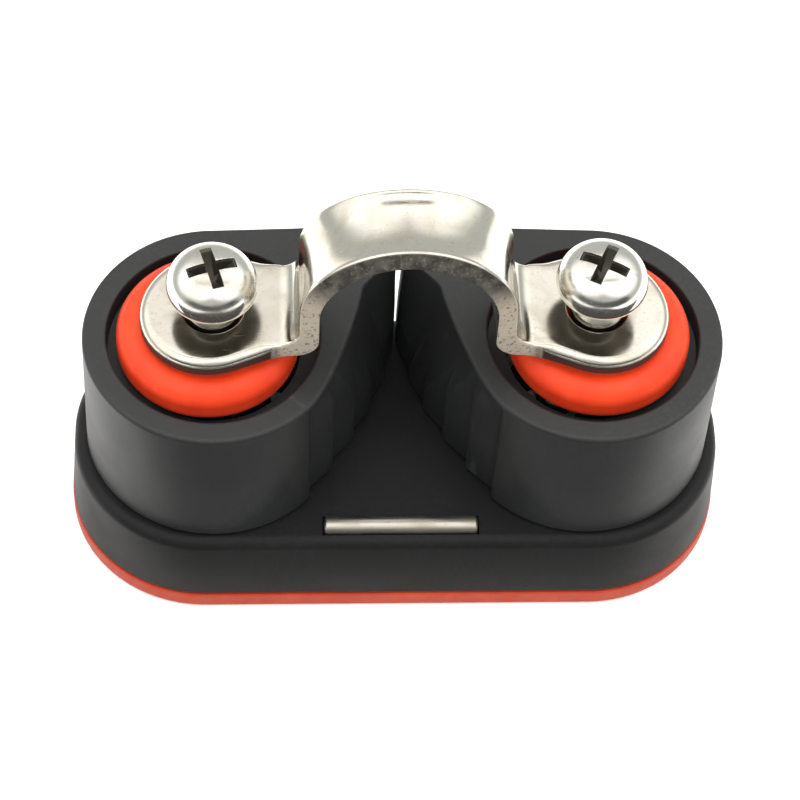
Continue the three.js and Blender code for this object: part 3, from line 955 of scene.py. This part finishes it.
def make_screw(label, side):
    """A pan-head machine screw."""
    low, high = box_mm(f"{label}_screw")
    head_z = high.z - SCREW.height
    centre = (side * PIVOT_X, 0)

    def profile_at(turn):
        return screw_profile(turn, low.z, head_z)

    name = f"{label}_screw_pan_head"
    screw = polar_grid(name, profile_at, full_turn(72), centre, closed=False, sharp_deg=40)
    carve(screw, *recess_cutter(centre, high.z, SCREW_TURN[label]))
    modifier = screw.modifiers.new("soft_edges", "BEVEL")
    modifier.width = 0.12 * MM
    modifier.segments = 3
    modifier.limit_method = "ANGLE"
    modifier.angle_limit = math.radians(48)
    apply_modifiers(screw)
    shade(screw, 40)
    finish_piece(screw, ROOT, "screw_steel", f"{label}_screw")


# -------- fairlead strap


def strap_section(top_edge):
    """Half of the strip's section as (across, up, rise, inset), bottom centre first."""
    low_edge, columns = 0.22, 9
    half = [(k / columns, 0.0, 0.0, low_edge) for k in range(columns + 1)]
    half += [(1.0, 0.0, low_edge * (1 - c), low_edge * (1 - s)) for c, s in quarter_turn(4, first=1)]
    half.append((1.0, 0.35, 0.0, 0.0))
    half += [(1.0, 1.0, -top_edge * (1 - s), top_edge * (1 - c)) for c, s in quarter_turn(8)]
    half += [(k / columns, 1.0, 0.0, top_edge) for k in reversed(range(columns))]
    return half


def foot_width(x, inset):
    """The foot's half width beyond its round end, easing into the neck."""
    angle = STRAP.foot_angle
    line = (STRAP.foot_radius - inset - (x + STRAP.foot_x) * math.cos(angle)) / math.sin(angle)
    flat = STRAP.neck - inset
    return (line + flat + math.sqrt((line - flat) ** 2 + STRAP.neck_ease)) / 2


def strap_stations():
    """Places along the left half of the strip, as (kind, value)."""
    degrees = (180, 177.5, 174, 170, 164, 157, 149, 140, 131, 122, 113, 104, 95, 86, 79, 73)
    stations = [("round", math.radians(a)) for a in degrees]
    stations += [("flat", k / 16) for k in range(17)]
    stations += [("bend", math.radians(-90 + 90 * k / 12)) for k in range(1, 13)]
    stations += [("leg", k / 4) for k in range(1, 4)]
    return stations + [("arch", math.radians(180 - 90 * k / 32)) for k in range(33)]


def foot_faces_at(x):
    """The heights of the foot's under and upper faces, which climb towards the arch."""
    rise = STRAP.neck_z - STRAP.end_z
    under_run = STRAP.end_x - STRAP.arch_in[0] - STRAP.bend
    over_run = STRAP.end_x - STRAP.arch_out[0] - STRAP.top_bend
    along = x + STRAP.end_x
    under = STRAP.end_z + rise * along / under_run
    upper = STRAP.end_z + STRAP.sheet + rise * along / over_run
    return under, upper


def strap_faces_at(kind, value):
    """The under and upper points, as (x, z), of the sheet at one station."""
    bottom, arch_z = STRAP.neck_z, STRAP.arch_z
    top = bottom + STRAP.sheet
    bend, over = STRAP.bend, STRAP.top_bend
    (inner, inner_z), (outer, outer_z) = STRAP.arch_in, STRAP.arch_out
    under_x, over_x = -inner - bend, -outer - over
    if kind == "flat":
        start = -STRAP.foot_x + STRAP.foot_radius * math.cos(STRAP.foot_angle)
        under, upper = lerp(start, under_x, value), lerp(start, over_x, value)
        return (under, foot_faces_at(under)[0]), (upper, foot_faces_at(upper)[1])
    c, s = math.cos(value), math.sin(value)
    if kind == "bend":
        return (under_x + bend * c, bottom + bend + bend * s), (over_x + over * c, top + over + over * s)
    if kind == "leg":
        return (-inner, lerp(bottom + bend, arch_z, value)), (-outer, lerp(top + over, arch_z, value))
    return (inner * c, arch_z + inner_z * s), (outer * c, arch_z + outer_z * s)


def strap_point(kind, value, across, up, rise, inset):
    """One point of the strip's skin; rise is in millimetres beyond the fraction up through the sheet."""
    if kind == "round":
        radius = STRAP.foot_radius - inset
        x, width = -STRAP.foot_x + radius * math.cos(value), radius * math.sin(value)
        under, upper = foot_faces_at(x)
        return (x, across * width, lerp(under, upper, up) + rise)
    (ux, uz), (ox, oz) = strap_faces_at(kind, value)
    through = Vector((ox - ux, oz - uz))
    spot = Vector((ux, uz)) + through * up + through.normalized() * rise
    flare, width = 0.0, foot_width(spot.x, inset)
    if kind != "flat":
        share = math.sin(value) ** 3 if kind == "arch" else 0.0
        width = lerp(foot_width(ux, inset), STRAP.crest - inset, share)
        climb = smoothstep((uz - STRAP.arch_z) / STRAP.flare_run + 1)
        flare = STRAP.flare * climb
        width -= STRAP.edge_slope * climb * up * STRAP.sheet
    inward = flare * (1 - abs(across) ** 2.4)
    if kind == "arch":
        spot -= through.normalized() * inward
    else:
        spot.x += inward
    return (spot.x, across * width, spot.y)


def strap_ring(kind, value):
    """The points round the strip's section at one station."""
    eased = {"round": 0.0, "flat": value, "bend": 1.0, "leg": 1.0, "arch": 1.0}[kind]
    section = strap_section(lerp(STRAP.foot_edge, STRAP.arch_edge, smoothstep(2 * eased - 1)))
    out = [strap_point(kind, value, *point) for point in section]
    return out + [(x, -y, z) for x, y, z in reversed(out[1:-1])]


def make_strap():
    """The saddle, skinned from rings along its left half and their mirror images."""
    rings = [strap_ring(kind, value) for kind, value in strap_stations()]
    rings += [[(-x, y, z) for x, y, z in ring] for ring in reversed(rings[:-1])]
    faces = band_faces(len(rings), len(rings[0]))
    strap = mesh_object("fairlead_saddle", [v for ring in rings for v in ring], faces, 50)
    carve(strap, *[strap_hole(side) for side in SIDES.values()])
    shade(strap, 38)
    even_normals(strap)
    finish_piece(strap, ROOT, "polished_steel", "fairlead_strap")


def strap_hole(side):
    """A round cutter that eases both edges of a foot's screw hole."""
    low, high = foot_faces_at(-PIVOT_X)
    radius, lip = STRAP.hole, 0.22
    profile = [(radius + lip, low - 1)]
    profile += [(radius + lip * (1 - s), low + lip * (1 - c)) for c, s in quarter_turn(6)]
    profile += [(radius + lip * (1 - c), high - lip * (1 - s)) for c, s in quarter_turn(6)]
    profile.append((radius + lip, high + 1))
    return turned("cutter", profile, 96, (side * PIVOT_X, 0), closed=False)


# -------- camera, floor and light


def make_camera():
    """A long lens that looks down at the load side, turned slightly about its own axis."""
    az, el = math.radians(CAMERA.azimuth), math.radians(CAMERA.elevation)
    back = Vector((math.sin(az) * math.cos(el), -math.cos(az) * math.cos(el), math.sin(el)))
    right = (-back).cross(Vector((0, 0, 1))).normalized()
    up = right.cross(-back)
    roll = math.radians(CAMERA.roll)
    turned_right = right * math.cos(roll) + up * math.sin(roll)
    turned_up = up * math.cos(roll) - right * math.sin(roll)
    camera = bpy.data.objects.new("camera", bpy.data.cameras.new("camera"))
    camera.data.lens = CAMERA.lens
    camera.data.sensor_width = 36.0
    camera.data.clip_start = 0.01
    camera.data.clip_end = 10.0
    matrix = Matrix((turned_right, turned_up, back)).transposed().to_4x4()
    matrix.translation = (Vector(CAMERA.target) + back * CAMERA.distance) * MM
    camera.matrix_world = matrix
    bpy.context.scene.collection.objects.link(camera)
    bpy.context.scene.camera = camera


def flat_sheet(name, grey, roughness, per_mm, half_width, near, far, z, **sockets):
    """A flat, faintly mottled stage piece that runs from near to far along Y."""
    mesh = bpy.data.meshes.new(name)
    outline = [(-half_width, near, 0), (half_width, near, 0), (half_width, far, 0), (-half_width, far, 0)]
    mesh.from_pydata(outline, [], [(0, 1, 2, 3)])
    sheet = bpy.data.objects.new(name, mesh)
    sheet.location.z = z
    bpy.context.scene.collection.objects.link(sheet)
    look = Look(name, (grey,) * 3, roughness, **sockets)
    look.color(look.mix(look.noise(per_mm, 2.0), (grey - 0.005,) * 3, (grey + 0.005,) * 3))
    mesh.materials.append(look.material)
    return sheet


def make_stage():
    """The plain pale floor, and a dark card on it in front that only reflections show."""
    floor = flat_sheet("floor", **FLOOR, Specular_IOR_Level=0.2)
    card = flat_sheet("dark_card", **CARD)
    card.visible_camera = False
    card.visible_diffuse = False
    card.visible_shadow = False


def make_world():
    """What polished steel sees: a bright ceiling with a dark seam, grey round it and dark in front."""
    world = bpy.data.worlds.new("studio")
    bpy.context.scene.world = world
    world.use_nodes = True
    sky = Nodes(world.node_tree)
    x, y, z = sky.axes(sky.nodes.new("ShaderNodeTexCoord").outputs["Generated"])
    rise = sky.math("ADD", z, sky.times(sky.math("ABSOLUTE", x), SKY.side))
    level = sky.ramp(rise, SKY.grey_to, SKY.bright_from, SKY.grey, SKY.bright)
    off_seam = sky.math("ABSOLUTE", sky.math("SUBTRACT", y, SEAM.y))
    seam = sky.ramp(off_seam, SEAM.width, 0.4 * SEAM.width)
    seam = sky.times(seam, sky.ramp(z, *SEAM.z))
    front = sky.times(sky.ramp(y, *FRONT.y), sky.ramp(z, *FRONT.z))
    dark = sky.ramp(seam, 0, 1, 1.0, SEAM.strength), sky.ramp(front, 0, 1, 1.0, FRONT.strength)
    level = sky.times(level, *dark)
    background = world.node_tree.nodes["Background"]
    tint = sky.mix(sky.ramp(z, 0.3, 0.8), (0.97, 1.0, 0.97), (1.0, 0.985, 0.955))
    sky.links.new(tint, background.inputs["Color"])
    sky.links.new(level, background.inputs["Strength"])


def area_light(name, place, size, power, color=(1, 1, 1)):
    """A soft light that polished steel does not show. Its place and size are in metres."""
    data = bpy.data.lights.new(name, "AREA")
    data.size = size
    data.energy = power
    data.color = color
    light = bpy.data.objects.new(name, data)
    light.location = place
    light.rotation_euler = (Vector((0, 0, 0.02)) - Vector(place)).to_track_quat("-Z", "Y").to_euler()
    light.visible_glossy = False
    bpy.context.scene.collection.objects.link(light)


def make_lights():
    """The studio background and two soft lights."""
    make_world()
    area_light("overhead", (0.0, 0.12, 0.6), 0.5, 3.0, (1, 0.98, 0.95))
    area_light("front", (0.0, -0.5, 0.45), 0.35, 2.2)
    bpy.context.scene.view_settings.view_transform = "Standard"


# -------- build

make_camera()
make_plate()
make_base()
make_wear_bar()
make_strap()
for label, side in SIDES.items():
    make_cam(label, side)
    make_bush(label, side)
    make_races(label, side)
    make_balls(label)
    make_spring(label, side)
    make_screw(label, side)
make_stage()
make_lights()
